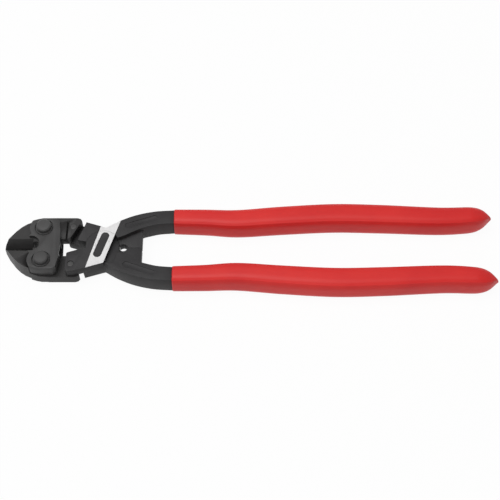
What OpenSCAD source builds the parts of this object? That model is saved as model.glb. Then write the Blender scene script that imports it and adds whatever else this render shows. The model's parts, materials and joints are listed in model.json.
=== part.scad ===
// Compact bolt cutter: two levers work two short jaws that turn between a pair
// of cover plates. Each piece on the upper side is the lower piece turned half
// a turn about the tool's long axis. Working frame: x = 0, y = 0 on the main
// pivot, handles towards +x, z = 0 halfway through the thickness of the levers.

/* [Head] */
// Distance from the main pivot to the tips of the blades
tip_reach = 50.1; // [44:0.1:60]
// Distance from the main pivot to the jaw bolts, along the tool
bolt_reach = 30.3; // [29:0.1:32]
// Distance of each jaw bolt from the centre line
bolt_offset = 9.5; // [9:0.1:10.5]
// Half the width of the cover plates
cover_half_w = 15.0; // [14:0.1:17]
// Half the width of the jaws behind their bolts
jaw_half_w = 16.2; // [15.5:0.1:18]
// Thickness of the thin part of a cover plate
cover_t = 1.7; // [1.2:0.1:3]
// Half the height of the bevel of a blade, seen on its flat face
bevel_w = 3.5; // [2:0.1:4.5]

/* [Levers] */
// Thickness of the levers and jaws
steel_t = 10.0; // [8:0.1:12]
// Radius of the lapped hub at the main pivot
hub_r = 8.5; // [7.5:0.1:9.2]
// Distance from the main pivot to the pins that join levers to jaws, along the tool
link_reach = 15.6; // [15:0.1:16.2]
// Distance of each of these pins from the centre line
link_offset = 11.0; // [10.6:0.1:11.6]
// Half the thickness of the two stops between the handles
stop_half_t = 2.2; // [1.5:0.1:4]
// Half the width of the steel inside the grips
core_half_w = 2.9; // [2:0.1:3.4]
// Half the thickness of the steel inside the grips
core_half_t = 3.6; // [2.5:0.1:4.5]

/* [Grips] */
// Distance from the main pivot to the ends of the grips
grip_reach = 199.9; // [185:0.1:240]
// Distance from the main pivot to the open mouths of the grips
grip_start = 35.8; // [34:0.1:45]
// Half the thickness of a grip
grip_half_t = 6.8; // [6:0.1:8]
// Half the width of a grip at its broadest
grip_half_w = 6.3; // [5:0.1:7]

/* [Pins and bolts] */
// Radius of the shank of a jaw bolt
bolt_r = 3.0; // [2:0.1:3.4]
// Radius of the head of a jaw bolt
bolt_head_r = 3.7; // [3.5:0.05:4.2]
// Height of a bolt head above the cover plate
bolt_head_h = 2.4; // [1.5:0.1:4]
// Radius of the main pivot pin
pivot_r = 3.5; // [2.5:0.1:5]
// Radius of the pins that join levers to jaws
link_r = 1.6; // [1:0.05:1.8]
// Radial clearance of every turning fit
running_gap = 0.05; // [0.02:0.01:0.1]
// Radial clearance of the one pin whose hole takes up the linkage's error
open_gap = 0.2; // [0.15:0.05:0.4]
// Gap between faces that slide past each other
slide_gap = 0.1; // [0.05:0.05:0.3]

/* [Hidden] */
$fn = 64;
half_t = steel_t / 2;
lap = slide_gap / 2;
eps = 0.01;
bolt_at = [-bolt_reach, -bolt_offset];
link_at = [-link_reach, -link_offset];
cover_in_z = half_t + slide_gap;
cover_out_z = cover_in_z + cover_t;
floor_z = max(cover_out_z, grip_half_t);
centre_x = (grip_reach - tip_reach) / 2;
cover_lobe_r = 7.2;
lobe_inset = 3.5;
lobe_from_centre = bolt_offset - lobe_inset;
jaw_step_r = cover_lobe_r + 0.3;
roll_r = bolt_offset - lap;
well_r = 4.7;
well_depth = 1.1;
nut_bore_r = 1.5;
nut_flange_r = 4.6;
nut_inset = 0.1;
nut_slot_w = 1.2;
nut_slot_depth = 0.7;
stud_len = 4.0;
arm_end_x = -18.1;
groove_z = 1.8;
ground_line = [[0.9, -10.6], [8.3, 14.2]];
grip_hole_x = 10.3;
grip_hole_r = 2.1;
label_from = [-2.4, -5.2];
label_to = [1.0, 5.4];
label_r = 2.1;
label_depth = 0.35;
head_flange_t = 0.8;
head_flange_over = 0.5;
head_rim = 0.6;
pin_inset = 0.4;
tooth_pitch = 2.3;
tooth_count = 5;
tooth_r = 0.7;
tooth_depth = 3.2;
tooth_from_edge = 2.0;
jaw_slot_w = 1.0;
jaw_slot_depth = 2.4;
core_end = grip_reach - 14;

// Points of an arc about c from angle a0 to a1.
function arc(c, r, a0, a1, n = 12) =
    [for (i = [0:n]) c + r * [cos(a0 + (a1 - a0) * i / n), sin(a0 + (a1 - a0) * i / n)]];

// One point of the smooth curve through a, b, c and d, at t between b and c.
function blend4(a, b, c, d, t) =
    0.5 * (2 * b + (c - a) * t + (2 * a - 5 * b + 4 * c - d) * t * t
           + (3 * b - a - 3 * c + d) * t * t * t);

// Smooth curve through a list of points, n steps to each stretch.
function smooth(p, n = 6) =
    let (m = len(p) - 1)
    concat([for (i = [0:m - 1], k = [0:n - 1])
                blend4(p[max(i - 1, 0)], p[i], p[i + 1], p[min(i + 2, m)], k / n)],
           [p[m]]);

function turned(list) = [for (i = [len(list) - 1:-1:0]) list[i]];
function edge_of(path, side) = [for (q = path) [q[0], -q[1] + side * q[2]]];

// Centre line of a handle: x, distance from the tool's centre line, half width.
handle_span = grip_reach - grip_start;
function along(share) = grip_start + share * handle_span;
handle_path = [
    [along(0), 17.1, 0.81 * grip_half_w], [along(0.1), 16.7, 0.86 * grip_half_w],
    [along(0.2), 16.0, 0.93 * grip_half_w], [along(0.34), 17.8, 0.98 * grip_half_w],
    [along(0.5), 19.3, grip_half_w], [along(0.65), 18.8, 0.99 * grip_half_w],
    [along(0.83), 17.5, 0.93 * grip_half_w], [along(0.93), 18.1, 0.85 * grip_half_w],
    [along(0.97), 18.5, 0.62 * grip_half_w], [along(1), 18.8, 0.1 * grip_half_w]];

module slab(z0, z1) {
    translate([0, 0, z0]) linear_extrude(z1 - z0) children();
}

// Half a turn about the tool's long axis: the upper piece from the lower one.
module turned_over() {
    rotate([180, 0, 0]) children();
}

// Moves a piece from the working frame onto the surface the tool lies on.
module placed() {
    translate([-centre_x, 0, floor_z]) children();
}

// ---- lower lever -------------------------------------------------------

module arm_outline() {
    polygon(concat(
        [[arm_end_x, -4.9], [-17.4, -4.4], [-12.8, -2.9], [-6.5, -1.6], [0, 0]],
        [[3, -9.5], [1.3, -10.4], [-7.8, -13.3], [-14.2, -15.4], [-17.2, -15.5]],
        [[arm_end_x, -14.8]]));
}

// The steel handle outside the grip: its inner edge, then its outer edge.
module root_outline() {
    inner = smooth([[6.4, -4.0], [10.5, -5.6], [15, -8.0], [19.6, -10.2], [24.2, -11.6],
                    [28.7, -12.6], [grip_start, -13.2]], 4);
    outer = smooth([[1.3, -10.4], [6.4, -13.6], [10.5, -15.7], [15, -17.6], [19.6, -19.0],
                    [24.2, -20.0], [28.7, -20.6], [grip_start, -21.0]], 4);
    polygon(concat(inner, turned(outer), [[0, -6]]));
}

// Everything of the lever that has its full thickness.
module lever_full_outline() {
    difference() {
        union() {
            arm_outline();
            root_outline();
        }
        circle(hub_r + slide_gap);
        // The jaw's tongue swings into the room left of this line.
        polygon([[-30, 5], [-14.0, 0.3], [-9.4, -12.7], [-7.8, -18], [-30, -18]]);
    }
}

module stop() {
    far = 19.8;
    slab(-stop_half_t, stop_half_t) difference() {
        polygon([[7.2, -lap], [far - 0.6, -lap], [far, -lap - 0.6], [far, -9],
                 [far + 1.6, -12.5], [9, -9], [7.2, -5.4]]);
        translate([grip_hole_x, 0]) circle(grip_hole_r);
        circle(hub_r + slide_gap);
    }
}

// The grip's steel core, thinner than the forged root.
module core_outline() {
    path = smooth([for (q = handle_path) if (q[0] < core_end)
                   [q[0], q[1], core_half_w]], 4);
    start = path[0];
    polygon(concat([[start[0] - 4, -start[1] + core_half_w]], edge_of(path, 1),
                   turned(edge_of(path, -1)),
                   [[start[0] - 4, -start[1] - core_half_w]]));
}

module ground_side(width) {
    a = ground_line[0];
    b = ground_line[1];
    polygon([a, b, b + [width, 0], a + [width, 0]]);
}

module lower_lever_body() {
    difference() {
        union() {
            slab(lap, half_t) {
                arm_outline();
                circle(hub_r);
                root_outline();
            }
            slab(-half_t, half_t) lever_full_outline();
            slab(-core_half_t, core_half_t) core_outline();
            stop();
        }
        // Main pivot and link pin.
        cylinder(h = 4 * half_t, r = pivot_r + running_gap, center = true);
        translate([each link_at, lap - 1])
            cylinder(h = half_t - lap + 2, r = link_r + running_gap);
        // Valley between the ground hub and the root of the handle.
        slab(groove_z, half_t + 1) difference() {
            intersection() {
                ground_side(8);
                translate([0, -14]) square([12, 22]);
            }
            polygon([[6.2, -14], [5.6, -12.4], [8.0, -4.4], [9.5, 9], [20, 9], [20, -14]]);
        }
        // Recess for a label on the ground hub.
        slab(half_t - label_depth, half_t + 1) label_outline();
        // Sunk panel in the face of the handle's root.
        slab(half_t - label_depth, half_t + 1) root_panel();
        turned_over() slab(half_t - label_depth, half_t + 1)
            mirror([0, 1, 0]) root_panel();
    }
}

module label_outline() {
    hull() {
        translate(label_from) circle(label_r, $fn = 32);
        translate(label_to) circle(label_r, $fn = 32);
    }
}

module root_panel() {
    a = [12.4, -11.6];
    b = [25.8, -16.4];
    hull() {
        translate(a) circle(1.7, $fn = 24);
        translate(b) circle(1.5, $fn = 24);
    }
}

module lower_lever() {
    color("#2b2a2b") lower_lever_body();
}

module upper_lever() {
    color("#2b2a2b") difference() {
        turned_over() lower_lever_body();
        // The hole that takes up the linkage's error.
        translate([link_at[0], -link_at[1], -half_t - 1])
            cylinder(h = half_t + 2, r = link_r + open_gap);
    }
}

// ---- grips ---------------------------------------------------------------

module grip_outline() {
    path = smooth(handle_path, 5);
    polygon(concat(edge_of(path, 1), turned(edge_of(path, -1))));
}

module lower_grip() {
    color("#d2201f") difference() {
        slab(-grip_half_t, grip_half_t) grip_outline();
        slab(-core_half_t, core_half_t) core_outline();
    }
}

module upper_grip() {
    color("#d2201f") turned_over() mirror([0, 0, 1]) difference() {
        slab(-grip_half_t, grip_half_t) grip_outline();
        slab(-core_half_t, core_half_t) core_outline();
    }
}

// ---- jaws ------------------------------------------------------------------

blade_back_x = -bolt_reach - 5.6;

// The whole lower jaw seen from the front.
module jaw_outline() {
    polygon(concat(
        [[-tip_reach, -lap], [blade_back_x, -lap]],
        arc([blade_back_x + 2.0, -lap], 2.0, 180, 300, 6),
        arc(bolt_at, roll_r, 105, 60, 10),
        [[-22.0, -3.6], [-17.6, -3.6], [-16.4, -4.8]],
        [[-11.4, -14.6], [-12.2, -15.7], [-13.8, -jaw_half_w], [-27, -jaw_half_w]],
        [[-32.2, -15.5], [-35.3, -14.3], [-39.4, -12.4], [-41.9, -10.6]],
        [[-44.5, -8.0], [-tip_reach + 2.4, -3.9], [-tip_reach + 0.5, -1.4]]));
}

// What of the jaw keeps its full thickness: the blade and the rolling flank.
module jaw_full_outline() {
    difference() {
        jaw_outline();
        translate(bolt_at) circle(jaw_step_r);
        translate([-bolt_reach, -bolt_offset - 20]) square([30, 20 + bolt_offset - 4]);
        translate([-22.2, -10]) square([12, 12]);
    }
}

module lower_jaw_body() {
    difference() {
        union() {
            slab(-half_t, -lap) jaw_outline();
            slab(-half_t, half_t) jaw_full_outline();
        }
        translate([each bolt_at, -half_t - 1])
            cylinder(h = steel_t + 2, r = bolt_r + running_gap);
        translate([each link_at, -half_t - 1])
            cylinder(h = steel_t + 2, r = link_r + running_gap);
        // Slot between the tongue and the body of the jaw, on the back face.
        slab(-half_t - 1, -half_t + jaw_slot_depth)
            translate([-19.1, -14.4]) square([jaw_slot_w, 12]);
        // Bevels that meet at the cutting edge.
        for (side = [0, 1]) mirror([0, 0, side]) blade_bevel();
        blade_teeth();
    }
}

// Wedge cut away above the edge of the lower blade.
module blade_bevel() {
    translate([-tip_reach - 1, 0, 0]) rotate([90, 0, 90])
        linear_extrude(blade_back_x + tip_reach + 1.6)
            polygon([[-lap, 0.25], [-bevel_w, half_t + eps], [-bevel_w, half_t + 1],
                     [2, half_t + 1], [2, 0.25]]);
}

// Small notches along the bevel.
module blade_teeth() {
    for (i = [0:tooth_count - 1])
        translate([-tip_reach + 4.4 + i * tooth_pitch, -tooth_from_edge, half_t - tooth_depth])
            cylinder(h = tooth_depth + 1, r = tooth_r, $fn = 24);
}

module lower_jaw() {
    color("#343233") lower_jaw_body();
}

module upper_jaw() {
    color("#343233") turned_over() lower_jaw_body();
}

// ---- cover plates ------------------------------------------------------------

module cover_outline() {
    throat_r = 4.4;
    throat_at = [-bolt_reach - 6.0, 0];
    difference() {
        polygon(concat(
            arc(bolt_at, cover_lobe_r, 150, 215, 8),
            [[-33.5, -cover_half_w + 0.5], [-31, -cover_half_w], [-24.6, -cover_half_w]],
            [[-22.9, -cover_half_w + 1.2], [-21.8, -8], [-21.5, 0], [-21.8, 8]],
            [[-22.9, cover_half_w - 1.2], [-24.6, cover_half_w], [-31, cover_half_w]],
            [[-33.5, cover_half_w - 0.5]],
            arc([bolt_at[0], -bolt_at[1]], cover_lobe_r, 145, 210, 8),
            [[-39, 1], [-39, -1]]));
        translate(throat_at) circle(throat_r);
        translate([throat_at[0] - 12, -throat_r + 0.6]) square([12, 2 * throat_r - 1.2]);
    }
}

// Thick lobe that fills the room in front of the lower jaw.
module cover_lobe_outline() {
    intersection() {
        cover_outline();
        translate([-bolt_reach - 20, -cover_half_w - 5])
            square([40, cover_half_w + 5 - lobe_from_centre]);
    }
}

module cover_body() {
    difference() {
        union() {
            slab(cover_in_z, cover_out_z) cover_outline();
            slab(slide_gap, cover_out_z) cover_lobe_outline();
        }
        for (side = [-1, 1]) translate([-bolt_reach, side * bolt_offset, 0]) {
            translate([0, 0, -1]) cylinder(h = 12, r = bolt_r + running_gap);
            translate([0, 0, cover_out_z - well_depth]) cylinder(h = 4, r = well_r);
        }
    }
}

module front_cover() {
    color("#3a3839") cover_body();
}

module back_cover() {
    color("#3a3839") turned_over() cover_body();
}

// ---- pins, bolts and nuts -------------------------------------------------------

well_floor_z = cover_out_z - well_depth;

// Bolt pushed in from the front, its threaded stud screwed into the nut.
module jaw_bolt_body() {
    stud_top = -well_floor_z + stud_len;
    union() {
        translate([0, 0, stud_top]) cylinder(h = well_floor_z - stud_top, r = bolt_r);
        translate([0, 0, -well_floor_z + 0.6])
            cylinder(h = stud_len, r = nut_bore_r - running_gap);
        translate([0, 0, well_floor_z]) cylinder(h = head_flange_t, r = bolt_head_r + head_flange_over);
        translate([0, 0, well_floor_z + head_flange_t])
            cylinder(h = cover_out_z + bolt_head_h - well_floor_z - head_flange_t - head_rim,
                     r = bolt_head_r);
        translate([0, 0, cover_out_z + bolt_head_h - head_rim])
            cylinder(h = head_rim, r1 = bolt_head_r, r2 = bolt_head_r - head_rim);
    }
}

// Sunk round nut with a slot, flush in the back cover.
module bolt_nut_body() {
    stud_top = -well_floor_z + stud_len;
    difference() {
        union() {
            translate([0, 0, -cover_out_z + nut_inset])
                cylinder(h = well_depth - nut_inset, r = nut_flange_r - nut_inset);
            translate([0, 0, -well_floor_z])
                cylinder(h = stud_top + well_floor_z - running_gap, r = bolt_r);
        }
        translate([0, 0, -well_floor_z + 0.5]) cylinder(h = 12, r = nut_bore_r);
        translate([-5, -nut_slot_w / 2, -cover_out_z - 1]) cube([10, nut_slot_w, 1 + nut_slot_depth]);
    }
}

module at_bolt(side) {
    translate([-bolt_reach, side * bolt_offset, 0]) children();
}

module lower_jaw_bolt() { color("#4a4849") at_bolt(-1) jaw_bolt_body(); }
module upper_jaw_bolt() { color("#4a4849") at_bolt(1) jaw_bolt_body(); }
module lower_bolt_nut() { color("#4a4849") at_bolt(-1) bolt_nut_body(); }
module upper_bolt_nut() { color("#4a4849") at_bolt(1) bolt_nut_body(); }

// Rivet ground flush with both faces of the hub; the front label recess crosses it.
module main_pivot_pin() {
    color("#8d8c8c") difference() {
        translate([0, 0, -half_t]) cylinder(h = steel_t, r = pivot_r);
        slab(half_t - label_depth, half_t + 1) label_outline();
    }
}

module link_pin_body() {
    translate([each link_at, -half_t]) cylinder(h = steel_t - pin_inset, r = link_r);
}

module lower_link_pin() { color("#5a5858") link_pin_body(); }
module upper_link_pin() { color("#5a5858") turned_over() link_pin_body(); }

placed() lower_lever();
placed() upper_lever();
placed() lower_grip();
placed() upper_grip();
placed() main_pivot_pin();
placed() lower_jaw();
placed() upper_jaw();
placed() front_cover();
placed() back_cover();
placed() lower_jaw_bolt();
placed() upper_jaw_bolt();
placed() lower_bolt_nut();
placed() upper_bolt_nut();
placed() lower_link_pin();
placed() upper_link_pin();
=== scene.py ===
"""Looks of a compact bolt cutter: forged levers, oxide-black head and dipped grips."""

import json
import logging
import math
from dataclasses import dataclass, field
from enum import Enum

import bmesh
import bpy
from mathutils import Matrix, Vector

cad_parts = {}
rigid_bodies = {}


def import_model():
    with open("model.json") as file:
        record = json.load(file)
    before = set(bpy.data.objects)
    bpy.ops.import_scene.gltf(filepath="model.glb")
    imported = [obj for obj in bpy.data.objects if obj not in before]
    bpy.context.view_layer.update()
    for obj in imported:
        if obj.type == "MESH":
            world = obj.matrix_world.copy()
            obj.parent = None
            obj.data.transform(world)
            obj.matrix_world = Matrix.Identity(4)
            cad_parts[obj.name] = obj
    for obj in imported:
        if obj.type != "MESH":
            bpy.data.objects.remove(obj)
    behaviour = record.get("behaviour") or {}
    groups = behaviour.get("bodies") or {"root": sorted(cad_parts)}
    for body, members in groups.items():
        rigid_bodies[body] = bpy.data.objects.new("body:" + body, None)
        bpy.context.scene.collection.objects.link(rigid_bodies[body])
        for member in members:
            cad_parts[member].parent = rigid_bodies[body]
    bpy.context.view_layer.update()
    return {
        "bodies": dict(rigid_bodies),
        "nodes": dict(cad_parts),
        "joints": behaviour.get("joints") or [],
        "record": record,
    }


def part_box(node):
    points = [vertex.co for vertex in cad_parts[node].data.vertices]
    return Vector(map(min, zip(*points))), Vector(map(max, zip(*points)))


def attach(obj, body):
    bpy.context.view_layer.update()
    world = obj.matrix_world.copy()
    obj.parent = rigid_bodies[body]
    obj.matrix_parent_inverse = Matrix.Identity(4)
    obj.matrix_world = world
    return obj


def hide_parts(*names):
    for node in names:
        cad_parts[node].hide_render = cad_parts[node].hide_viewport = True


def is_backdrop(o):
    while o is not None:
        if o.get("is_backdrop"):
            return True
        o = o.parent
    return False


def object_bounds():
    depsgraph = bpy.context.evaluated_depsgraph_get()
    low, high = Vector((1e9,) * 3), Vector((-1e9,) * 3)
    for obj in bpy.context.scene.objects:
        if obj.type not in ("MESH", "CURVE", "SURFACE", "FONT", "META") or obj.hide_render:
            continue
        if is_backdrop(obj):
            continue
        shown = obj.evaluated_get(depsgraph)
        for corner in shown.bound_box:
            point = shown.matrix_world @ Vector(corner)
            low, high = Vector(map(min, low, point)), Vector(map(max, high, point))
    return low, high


log = logging.getLogger("bolt_cutters")
MM = 0.001


class Side(Enum):
    """Which handle, jaw or bolt a piece belongs to."""

    LOWER = -1
    UPPER = 1

    @property
    def word(self) -> str:
        """The side's name as the nodes spell it."""
        return self.name.lower()


class NodeTree:
    """Small helper that adds and links shader nodes of one material."""

    def __init__(self, name: str) -> None:
        """Make an empty material with an output and a principled shader.

        Args:
            name: The material's name.
        """
        self.material = bpy.data.materials.new(name)
        self.material.use_nodes = True
        self.nodes = self.material.node_tree.nodes
        self.links = self.material.node_tree.links
        self.shader = self.nodes["Principled BSDF"]

    def add(self, kind: str, **values: object) -> bpy.types.Node:
        """Add a node and set its properties or its inputs.

        Args:
            kind: The node's type, such as ShaderNodeTexNoise.
            values: Properties by name, and inputs by name with _ for a space.

        Returns:
            The new node.
        """
        node = self.nodes.new(kind)
        for key, value in values.items():
            plain = key.replace("_", " ").title()
            if hasattr(node, key):
                setattr(node, key, value)
            else:
                node.inputs[plain].default_value = value
        return node

    def link(self, start: bpy.types.NodeSocket, end: bpy.types.NodeSocket) -> None:
        """Join two sockets."""
        self.links.new(start, end)

    def object_point(self) -> bpy.types.NodeSocket:
        """The point on the surface, in metres, in the piece's own frame."""
        return self.add("ShaderNodeTexCoord").outputs["Object"]

    def noise(self, scale: float, detail: float = 4.0, stretch: Vector | None = None) -> bpy.types.NodeSocket:
        """Noise over the piece.

        Args:
            scale: Cells to the metre.
            detail: Octaves.
            stretch: Factor along each axis before the noise, if it runs one way.

        Returns:
            The noise's value socket.
        """
        texture = self.add("ShaderNodeTexNoise", Scale=scale, Detail=detail)
        point = self.object_point()
        if stretch is not None:
            mapping = self.add("ShaderNodeMapping")
            mapping.inputs["Scale"].default_value = stretch
            self.link(point, mapping.inputs["Vector"])
            point = mapping.outputs["Vector"]
        self.link(point, texture.inputs["Vector"])
        return texture.outputs["Fac"]

    def ramp(self, value: bpy.types.NodeSocket, low: tuple, high: tuple,
             at: tuple[float, float] = (0.3, 0.7)) -> bpy.types.NodeSocket:
        """Colour between low and high as value goes between the two places."""
        ramp = self.add("ShaderNodeValToRGB")
        ramp.color_ramp.elements[0].position = at[0]
        ramp.color_ramp.elements[0].color = (*low, 1)
        ramp.color_ramp.elements[1].position = at[1]
        ramp.color_ramp.elements[1].color = (*high, 1)
        self.link(value, ramp.inputs["Fac"])
        return ramp.outputs["Color"]

    def span(self, value: bpy.types.NodeSocket, low: float, high: float) -> bpy.types.NodeSocket:
        """Map a value between 0 and 1 to low and high."""
        node = self.add("ShaderNodeMapRange")
        node.inputs["To Min"].default_value = low
        node.inputs["To Max"].default_value = high
        self.link(value, node.inputs["Value"])
        return node.outputs["Result"]

    def maths(self, what: str, a: object, b: object = 0.0) -> bpy.types.NodeSocket:
        """One step of arithmetic on sockets or numbers."""
        node = self.add("ShaderNodeMath", operation=what)
        for socket, value in zip(node.inputs, (a, b)):
            if isinstance(value, (int, float)):
                socket.default_value = value
            else:
                self.link(value, socket)
        return node.outputs[0]

    def mix(self, share: bpy.types.NodeSocket, a: object, b: object) -> bpy.types.NodeSocket:
        """Colour a where share is 0, colour b where it is 1."""
        node = self.add("ShaderNodeMix", data_type="RGBA")
        self.link(share, node.inputs["Factor"])
        for index, value in ((6, a), (7, b)):
            if isinstance(value, tuple):
                node.inputs[index].default_value = (*value, 1)
            else:
                self.link(value, node.inputs[index])
        return node.outputs[2]

    def seen_ray(self) -> bpy.types.NodeSocket:
        """1 for camera, glossy and transmission rays, 0 for the others."""
        path = self.add("ShaderNodeLightPath")
        clear = self.maths("ADD", path.outputs["Is Camera Ray"], path.outputs["Is Glossy Ray"])
        return self.maths("ADD", clear, path.outputs["Is Transmission Ray"])

    def bump(self, height: bpy.types.NodeSocket, depth: float, strength: float = 1.0,
             before: bpy.types.NodeSocket | None = None) -> bpy.types.NodeSocket:
        """Bump of a depth in metres, on top of an earlier one if given."""
        node = self.add("ShaderNodeBump")
        node.inputs["Strength"].default_value = strength
        node.inputs["Distance"].default_value = depth
        self.link(height, node.inputs["Height"])
        if before is not None:
            self.link(before, node.inputs["Normal"])
        return node.outputs["Normal"]


@dataclass(frozen=True)
class BlackSteel:
    """Black-finished steel: forged, or machined and oxidised."""

    name: str
    colour: tuple[float, float, float]
    roughness: float
    grain_mm: float
    grain_depth: float

    def material(self) -> NodeTree:
        """Build the finish.

        Returns:
            The tree, so that a caller can add a ground area to it.
        """
        tree = NodeTree(self.name)
        patches = tree.noise(90, 3)
        grain = tree.noise(1 / (self.grain_mm * MM), 5)
        dark = tuple(0.8 * c for c in self.colour)
        light = tuple(1.25 * c for c in self.colour)
        tree.link(tree.ramp(patches, dark, light), tree.shader.inputs["Base Color"])
        tree.link(tree.span(grain, self.roughness - 0.08, self.roughness + 0.1),
                  tree.shader.inputs["Roughness"])
        tree.shader.inputs["Specular IOR Level"].default_value = 0.2
        tree.link(tree.bump(grain, self.grain_depth, 0.5), tree.shader.inputs["Normal"])
        return tree


@dataclass(frozen=True)
class GroundSteel:
    """Bright ground steel with fine parallel scratches."""

    colour: tuple[float, float, float] = (0.88, 0.87, 0.87)
    scratch_mm: float = 0.18


@dataclass(frozen=True)
class DippedPlastic:
    """Soft glossy plastic that a handle was dipped in."""

    name: str = "dipped_plastic"
    colour: tuple[float, float, float] = (0.74, 0.028, 0.024)
    deep: tuple[float, float, float] = (0.66, 0.018, 0.018)

    def material(self) -> NodeTree:
        """Build the finish."""
        tree = NodeTree(self.name)
        clouds = tree.noise(45, 3)
        pebble = tree.noise(2600, 3)
        orange_peel = tree.noise(420, 2)
        tree.link(tree.ramp(clouds, self.deep, self.colour), tree.shader.inputs["Base Color"])
        tree.link(tree.span(pebble, 0.36, 0.5), tree.shader.inputs["Roughness"])
        tree.shader.inputs["Specular IOR Level"].default_value = 0.3
        tree.shader.inputs["Subsurface Weight"].default_value = 0.06
        tree.shader.inputs["Subsurface Radius"].default_value = (1.5 * MM, 0.3 * MM, 0.3 * MM)
        tree.shader.inputs["Subsurface Scale"].default_value = 1.0
        fine = tree.bump(pebble, 0.02 * MM, 0.35)
        tree.link(tree.bump(orange_peel, 0.05 * MM, 0.35, fine), tree.shader.inputs["Normal"])
        return tree


@dataclass
class Workshop:
    """The finishes that every sub-assembly shares, and the piece maker."""

    frame: dict
    forged: BlackSteel = BlackSteel("forged_black", (0.026, 0.025, 0.026), 0.48, 0.35, 0.05 * MM)
    oxide: BlackSteel = BlackSteel("oxide_black", (0.028, 0.027, 0.027), 0.42, 0.22, 0.02 * MM)
    cover: BlackSteel = BlackSteel("cover_black", (0.05, 0.049, 0.049), 0.42, 0.25, 0.025 * MM)
    bolt: BlackSteel = BlackSteel("bolt_black", (0.06, 0.059, 0.059), 0.36, 0.3, 0.02 * MM)
    slots: dict[str, str] = field(default_factory=dict)
    shallow_mm: float = 1.0
    recess_ease_mm: float = 0.1

    def __post_init__(self) -> None:
        """Read which slot each node takes its finish from."""
        for row in self.frame["record"]["subparts"]:
            self.slots[row["node"]] = row["material_slot"]

    def body_of(self, node: str) -> str:
        """The CAD body that holds a node."""
        bodies = self.frame["record"]["behaviour"]["bodies"]
        return next(body for body, nodes in bodies.items() if node in nodes)

    def dress(self, piece: bpy.types.Object, *materials: bpy.types.Material) -> None:
        """Give a piece its materials in place of any it has."""
        piece.data.materials.clear()
        for material in materials:
            piece.data.materials.append(material)

    def take_place(self, piece: bpy.types.Object, node: str) -> None:
        """Let a finished piece ride and stand in for a CAD node."""
        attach(piece, self.body_of(node))
        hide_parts(node)
        log.info("%s stands for %s", piece.name, node)

    @staticmethod
    def wall_height(edge: bmesh.types.BMEdge) -> float:
        """Height along Z of the lowest wall beside an edge, in metres."""
        heights = [max(v.co.z for v in face.verts) - min(v.co.z for v in face.verts)
                   for face in edge.link_faces if abs(face.normal.z) < 0.9]
        return min(heights, default=1.0)

    def round_edges(self, shape: bmesh.types.BMesh, ease_mm: float, segments: int,
                    sharp_deg: float, shallow: bool, bare: tuple[Vector, float] | None) -> None:
        """Round the sharp edges of deep walls, or those of shallow recesses.

        Args:
            shape: The mesh to round.
            ease_mm: Width of the rounding.
            segments: Steps across the rounding.
            sharp_deg: Edges that turn more than this are rounded.
            shallow: Whether to take the recesses rather than the deep walls.
            bare: A vertical axis and a radius within which edges stay sharp.
        """
        chosen = []
        for edge in shape.edges:
            if len(edge.link_faces) != 2 or edge.calc_face_angle(0.0) < math.radians(sharp_deg):
                continue
            if bare is not None and all((v.co - bare[0]).xy.length < bare[1] for v in edge.verts):
                continue
            if (self.wall_height(edge) < self.shallow_mm * MM) == shallow:
                chosen.append(edge)
        if chosen:
            bmesh.ops.bevel(shape, geom=chosen, offset=ease_mm * MM, segments=segments,
                            profile=0.5, affect="EDGES", clamp_overlap=True,
                            offset_type="OFFSET", miter_outer="ARC", miter_inner="ARC")

    def eased_copy(self, node: str, ease_mm: float, segments: int = 2, sharp_deg: float = 28.0,
                   bare: tuple[Vector, float] | None = None) -> bpy.types.Object:
        """Copy a CAD node's surface and round its sharp edges.

        Args:
            node: The CAD node.
            ease_mm: Width of the rounding.
            segments: Steps across the rounding.
            sharp_deg: Edges that turn more than this are rounded.
            bare: A vertical axis and a radius within which edges stay sharp.

        Returns:
            The rounded copy, not yet riding on a body.
        """
        shape = bmesh.new()
        shape.from_mesh(self.frame["nodes"][node].data)
        bmesh.ops.remove_doubles(shape, verts=shape.verts, dist=2e-6)
        bmesh.ops.dissolve_limit(shape, angle_limit=math.radians(1.0),
                                 verts=shape.verts, edges=shape.edges)
        self.round_edges(shape, self.recess_ease_mm, 2, sharp_deg, True, bare)
        self.round_edges(shape, ease_mm, segments, sharp_deg, False, bare)
        bmesh.ops.remove_doubles(shape, verts=shape.verts, dist=1e-6)
        mesh = bpy.data.meshes.new(f"{node}_finished")
        shape.to_mesh(mesh)
        shape.free()
        piece = bpy.data.objects.new(f"{node}_finished", mesh)
        bpy.context.scene.collection.objects.link(piece)
        for face in mesh.polygons:
            face.use_smooth = True
        mesh.set_sharp_from_angle(angle=math.radians(40))
        return piece


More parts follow.
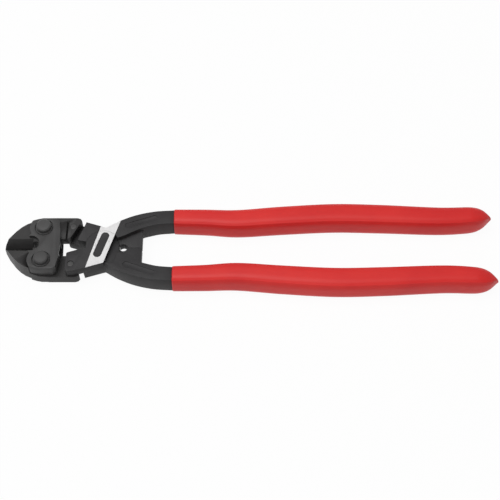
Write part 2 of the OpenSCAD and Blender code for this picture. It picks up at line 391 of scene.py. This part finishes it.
@dataclass(frozen=True)
class GroundBand:
    """Bright band ground across the outer face of the hub; recesses in it stay black."""

    pivot: tuple
    left: tuple = ((-7.9, -13.2), (-2.3, 8.4))
    right: tuple = ((0.9, -10.6), (8.3, 14.2))
    face_mm: float = 4.93

    def mask(self, tree: NodeTree) -> bpy.types.NodeSocket:
        """1 on the band of the outer face, 0 elsewhere.

        Args:
            tree: The material that gets the band.

        Returns:
            The mask's socket.
        """
        split = tree.add("ShaderNodeSeparateXYZ")
        tree.link(tree.object_point(), split.inputs[0])
        x = tree.maths("SUBTRACT", split.outputs["X"], self.pivot[0])
        y = split.outputs["Y"]

        def right_of(line: tuple) -> bpy.types.NodeSocket:
            """1 on the +X side of a line through two points in millimetres."""
            (x0, y0), (x1, y1) = line
            slope = (x1 - x0) / (y1 - y0)
            edge = tree.maths("ADD", tree.maths("MULTIPLY", y, slope), (x0 - y0 * slope) * MM)
            return tree.maths("GREATER_THAN", x, edge)

        inside = tree.maths("SUBTRACT", right_of(self.left), right_of(self.right))
        level = tree.maths("GREATER_THAN", split.outputs["Z"], self.pivot[2] + self.face_mm * MM)
        return tree.maths("MULTIPLY", inside, level)

    def grind(self, tree: NodeTree) -> None:
        """Lay the bright band over a black finish."""
        mask = self.mask(tree)
        ground = GroundSteel()
        scratches = tree.noise(1 / (ground.scratch_mm * MM), 3, Vector((1.0, 0.04, 1.0)))
        bright = tree.ramp(scratches, tuple(0.88 * c for c in ground.colour), ground.colour)
        black = tree.shader.inputs["Base Color"].links[0].from_socket
        tree.link(tree.mix(mask, black, bright), tree.shader.inputs["Base Color"])


@dataclass
class Hub:
    """The two forged levers and the rivet that joins them."""

    shop: Workshop
    ease_mm: float = 0.5
    bare_radius: float = 4.2 * MM

    def build(self) -> None:
        """Build and dress both levers and the rivet."""
        hinge = next(j for j in self.shop.frame["joints"] if j["name"] == "handle_hinge")
        pivot = Vector(hinge["pos_m"])
        band = GroundBand(tuple(pivot))
        pieces = (("lower_lever", self.ease_mm), ("upper_lever", self.ease_mm), ("main_pivot_pin", 0.05))
        for node, ease in pieces:
            piece = self.shop.eased_copy(node, ease, 3, bare=(pivot, self.bare_radius))
            tree = self.shop.forged.material()
            band.grind(tree)
            self.shop.dress(piece, tree.material)
            self.shop.take_place(piece, node)


@dataclass
class Grip:
    """One dipped sleeve: a rounded section swept along the handle."""

    shop: Workshop
    side: Side
    around: int = 120
    squareness: float = 3.4
    ridge_mm: float = 0.16
    tip_share: float = 0.93
    tip_pinch: float = 0.8
    mouth_swell: float = 0.925
    swell_gain: float = 0.065
    swell_share: float = 0.25
    least_half_w: float = 0.3
    least_half_t: float = 0.5 * MM
    # Share of the length and scale of the section, from inside the mouth outwards.
    mouth: tuple = ((0.012, 0.62), (0.004, 0.66), (0.0, 0.86), (0.0, 0.95), (0.0015, 0.992), (0.004, 1.0))
    # Share of the length, distance from the centre line and half width in millimetres.
    path: tuple = (
        (0.0, 17.1, 5.1), (0.1, 16.7, 5.4), (0.2, 16.0, 5.86), (0.34, 17.8, 6.17),
        (0.5, 19.3, 6.3), (0.65, 18.8, 6.24), (0.83, 17.5, 5.86), (0.93, 18.1, 5.36),
        (0.97, 18.5, 3.9), (1.0, 18.8, 0.63))

    @staticmethod
    def between(a: tuple, b: tuple, c: tuple, d: tuple, t: float) -> list[float]:
        """A point of the smooth curve from b to c."""
        return [0.5 * (2 * q + (r - p) * t + (2 * p - 5 * q + 4 * r - s) * t * t
                       + (3 * q - p - 3 * r + s) * t ** 3)
                for p, q, r, s in zip(a, b, c, d)]

    def stations(self, steps: int = 12) -> list[list[float]]:
        """Smooth stations along the handle: share, offset and half width."""
        last = len(self.path) - 1
        found = []
        for i in range(last):
            a = self.path[max(i - 1, 0)]
            d = self.path[min(i + 2, last)]
            found += [self.between(a, self.path[i], self.path[i + 1], d, k / steps)
                      for k in range(steps)]
        return found + [list(self.path[-1])]

    def section(self, angle: float, half_w: float, half_t: float) -> tuple[float, float]:
        """A point of the rounded-square section, with a faint ridge on each corner."""
        c, s = math.cos(angle), math.sin(angle)
        power = 2 / self.squareness
        u = half_w * math.copysign(abs(c) ** power, c)
        v = half_t * math.copysign(abs(s) ** power, s)
        corner = abs(abs(math.degrees(math.atan2(abs(s), abs(c)))) - 45)
        lift = self.ridge_mm * MM * math.exp(-(corner / 5.0) ** 2) * min(1.0, half_w / (3 * MM))
        reach = math.hypot(u, v) or 1.0
        return u * (1 + lift / reach), v * (1 + lift / reach)

    def rings(self) -> list[list[Vector]]:
        """Rings of points from inside the mouth to the tip."""
        low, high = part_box(f"{self.side.word}_grip")
        length, mid_z = high.x - low.x, (high.z + low.z) / 2
        full_t = (high.z - low.z) / 2
        rings = []
        for share, scale in self.mouth:
            _, offset, half_w = self.path[0]
            rings.append(self.ring(low.x + share * length, offset, half_w * scale,
                                   self.mouth_swell * full_t * scale, mid_z))
        for share, offset, half_w in self.stations()[1:]:
            swell = self.mouth_swell + self.swell_gain * min(1.0, share / self.swell_share)
            if share > self.tip_share:
                run = (share - self.tip_share) / (1 - self.tip_share)
                half_t = full_t * swell * math.sqrt(max(0.0, 1 - run ** 1.5))
                half_w *= 1 - self.tip_pinch * run ** 6
            else:
                half_t = full_t * swell
            half_t = max(half_t, self.least_half_t)
            rings.append(self.ring(low.x + share * length, offset,
                                   max(half_w, self.least_half_w), half_t, mid_z))
        return rings

    def ring(self, x: float, offset: float, half_w: float, half_t: float, mid_z: float) -> list[Vector]:
        """One ring of the sleeve at x, half_w in millimetres and half_t in metres."""
        centre = self.side.value * offset * MM
        points = []
        for i in range(self.around):
            u, v = self.section(2 * math.pi * i / self.around, half_w * MM, half_t)
            points.append(Vector((x, centre + u, mid_z + v)))
        return points

    def build(self) -> None:
        """Build and dress the grip."""
        node = f"{self.side.word}_grip"
        shape = bmesh.new()
        rings = [[shape.verts.new(point) for point in ring] for ring in self.rings()]
        for near, far in zip(rings, rings[1:]):
            for i in range(self.around):
                j = (i + 1) % self.around
                shape.faces.new((near[i], near[j], far[j], far[i]))
        shape.faces.new(list(reversed(rings[0])))
        shape.faces.new(rings[-1])
        bmesh.ops.recalc_face_normals(shape, faces=shape.faces)
        mesh = bpy.data.meshes.new(f"{node}_sleeve")
        shape.to_mesh(mesh)
        shape.free()
        piece = bpy.data.objects.new(f"{node}_sleeve", mesh)
        bpy.context.scene.collection.objects.link(piece)
        for face in mesh.polygons:
            face.use_smooth = True
        mesh.set_sharp_from_angle(angle=math.radians(50))
        self.shop.dress(piece, DippedPlastic().material().material)
        self.shop.take_place(piece, node)


@dataclass
class CuttingHead:
    """The two jaws, the cover plates and what holds them together."""

    shop: Workshop

    def build(self) -> None:
        """Build and dress every piece of the head."""
        finishes = (
            ("lower_jaw", self.shop.oxide, 0.3), ("upper_jaw", self.shop.oxide, 0.3),
            ("front_cover", self.shop.cover, 0.5), ("back_cover", self.shop.cover, 0.5),
            ("lower_jaw_bolt", self.shop.bolt, 0.3), ("upper_jaw_bolt", self.shop.bolt, 0.3),
            ("lower_bolt_nut", self.shop.bolt, 0.15), ("upper_bolt_nut", self.shop.bolt, 0.15),
            ("lower_link_pin", self.shop.bolt, 0.15), ("upper_link_pin", self.shop.bolt, 0.15))
        for node, finish, ease in finishes:
            piece = self.shop.eased_copy(node, ease, 3)
            self.shop.dress(piece, finish.material().material)
            self.shop.take_place(piece, node)


@dataclass
class Studio:
    """Pale floor, soft light and the camera."""

    low: Vector
    high: Vector
    elevation_deg: float = 58.0
    seen_width: float = 0.2557
    distance: float = 0.64
    floor_glow: float = 0.95
    ambient: float = 0.25

    def floor(self) -> None:
        """A pale floor that keeps a faint shadow."""
        bpy.ops.mesh.primitive_plane_add(size=6, location=(0, 0, self.low.z))
        floor = bpy.context.object
        floor.name = "studio_floor"
        tree = NodeTree("studio_floor")
        tree.shader.inputs["Base Color"].default_value = (0.92, 0.92, 0.92, 1)
        tree.shader.inputs["Roughness"].default_value = 0.9
        tree.shader.inputs["Specular IOR Level"].default_value = 0.0
        glow = tree.add("ShaderNodeEmission")
        glow.inputs["Color"].default_value = (1, 1, 1, 1)
        mix = tree.add("ShaderNodeMixShader")
        seen = tree.maths("MULTIPLY", tree.seen_ray(), self.floor_glow)
        tree.link(seen, mix.inputs["Fac"])
        tree.link(tree.shader.outputs["BSDF"], mix.inputs[1])
        tree.link(glow.outputs["Emission"], mix.inputs[2])
        output = next(n for n in tree.nodes if n.type == "OUTPUT_MATERIAL")
        tree.link(mix.outputs["Shader"], output.inputs["Surface"])
        floor.data.materials.append(tree.material)
        floor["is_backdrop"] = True

    def lamp(self, name: str, place: tuple, size: float, power: float) -> None:
        """A square soft light aimed at the tool."""
        data = bpy.data.lights.new(name, "AREA")
        data.size = size
        data.energy = power
        lamp = bpy.data.objects.new(name, data)
        lamp.location = place
        lamp.rotation_mode = "QUATERNION"
        lamp.rotation_quaternion = (-Vector(place)).to_track_quat("-Z", "Y")
        bpy.context.scene.collection.objects.link(lamp)

    def lights(self) -> None:
        """Big soft light above, a weak fill in front."""
        self.lamp("top_light", (-0.35, 0.05, 1.15), 0.9, 10.5)
        self.lamp("front_light", (0.2, -1.0, 0.5), 0.8, 0.8)
        world = bpy.data.worlds.new("studio")
        bpy.context.scene.world = world
        world.use_nodes = True
        nodes, links = world.node_tree.nodes, world.node_tree.links
        background = nodes["Background"]
        background.inputs["Color"].default_value = (1, 1, 1, 1)
        path = nodes.new("ShaderNodeLightPath")
        clear = nodes.new("ShaderNodeMath")
        links.new(path.outputs["Is Camera Ray"], clear.inputs[0])
        links.new(path.outputs["Is Glossy Ray"], clear.inputs[1])
        seen = nodes.new("ShaderNodeMath")
        links.new(clear.outputs[0], seen.inputs[0])
        links.new(path.outputs["Is Transmission Ray"], seen.inputs[1])
        strength = nodes.new("ShaderNodeMapRange")
        strength.inputs["To Min"].default_value = self.ambient
        strength.inputs["To Max"].default_value = 1.0
        links.new(seen.outputs[0], strength.inputs["Value"])
        links.new(strength.outputs["Result"], background.inputs["Strength"])

    def camera(self) -> None:
        """The camera, level with the length of the tool and looking down at it."""
        data = bpy.data.cameras.new("camera")
        data.sensor_width = 36
        data.lens = 36 * self.distance / self.seen_width
        camera = bpy.data.objects.new("camera", data)
        slope = math.radians(self.elevation_deg)
        aim = Vector((0, 0, 6.8 * MM))
        back = Vector((0, -math.cos(slope), math.sin(slope)))
        camera.location = aim + back * self.distance
        camera.rotation_mode = "QUATERNION"
        camera.rotation_quaternion = (-back).to_track_quat("-Z", "Y")
        bpy.context.scene.collection.objects.link(camera)
        bpy.context.scene.camera = camera
        bpy.context.scene.view_settings.view_transform = "Standard"

    def build(self) -> None:
        """Build the whole studio."""
        self.camera()
        self.floor()
        self.lights()


def main() -> None:
    """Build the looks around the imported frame."""
    logging.basicConfig(level=logging.INFO, format="%(message)s")
    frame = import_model()
    Studio(*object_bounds()).build()
    shop = Workshop(frame)
    Hub(shop).build()
    for side in Side:
        Grip(shop, side).build()
    CuttingHead(shop).build()


if __name__ == "__main__":
    main()
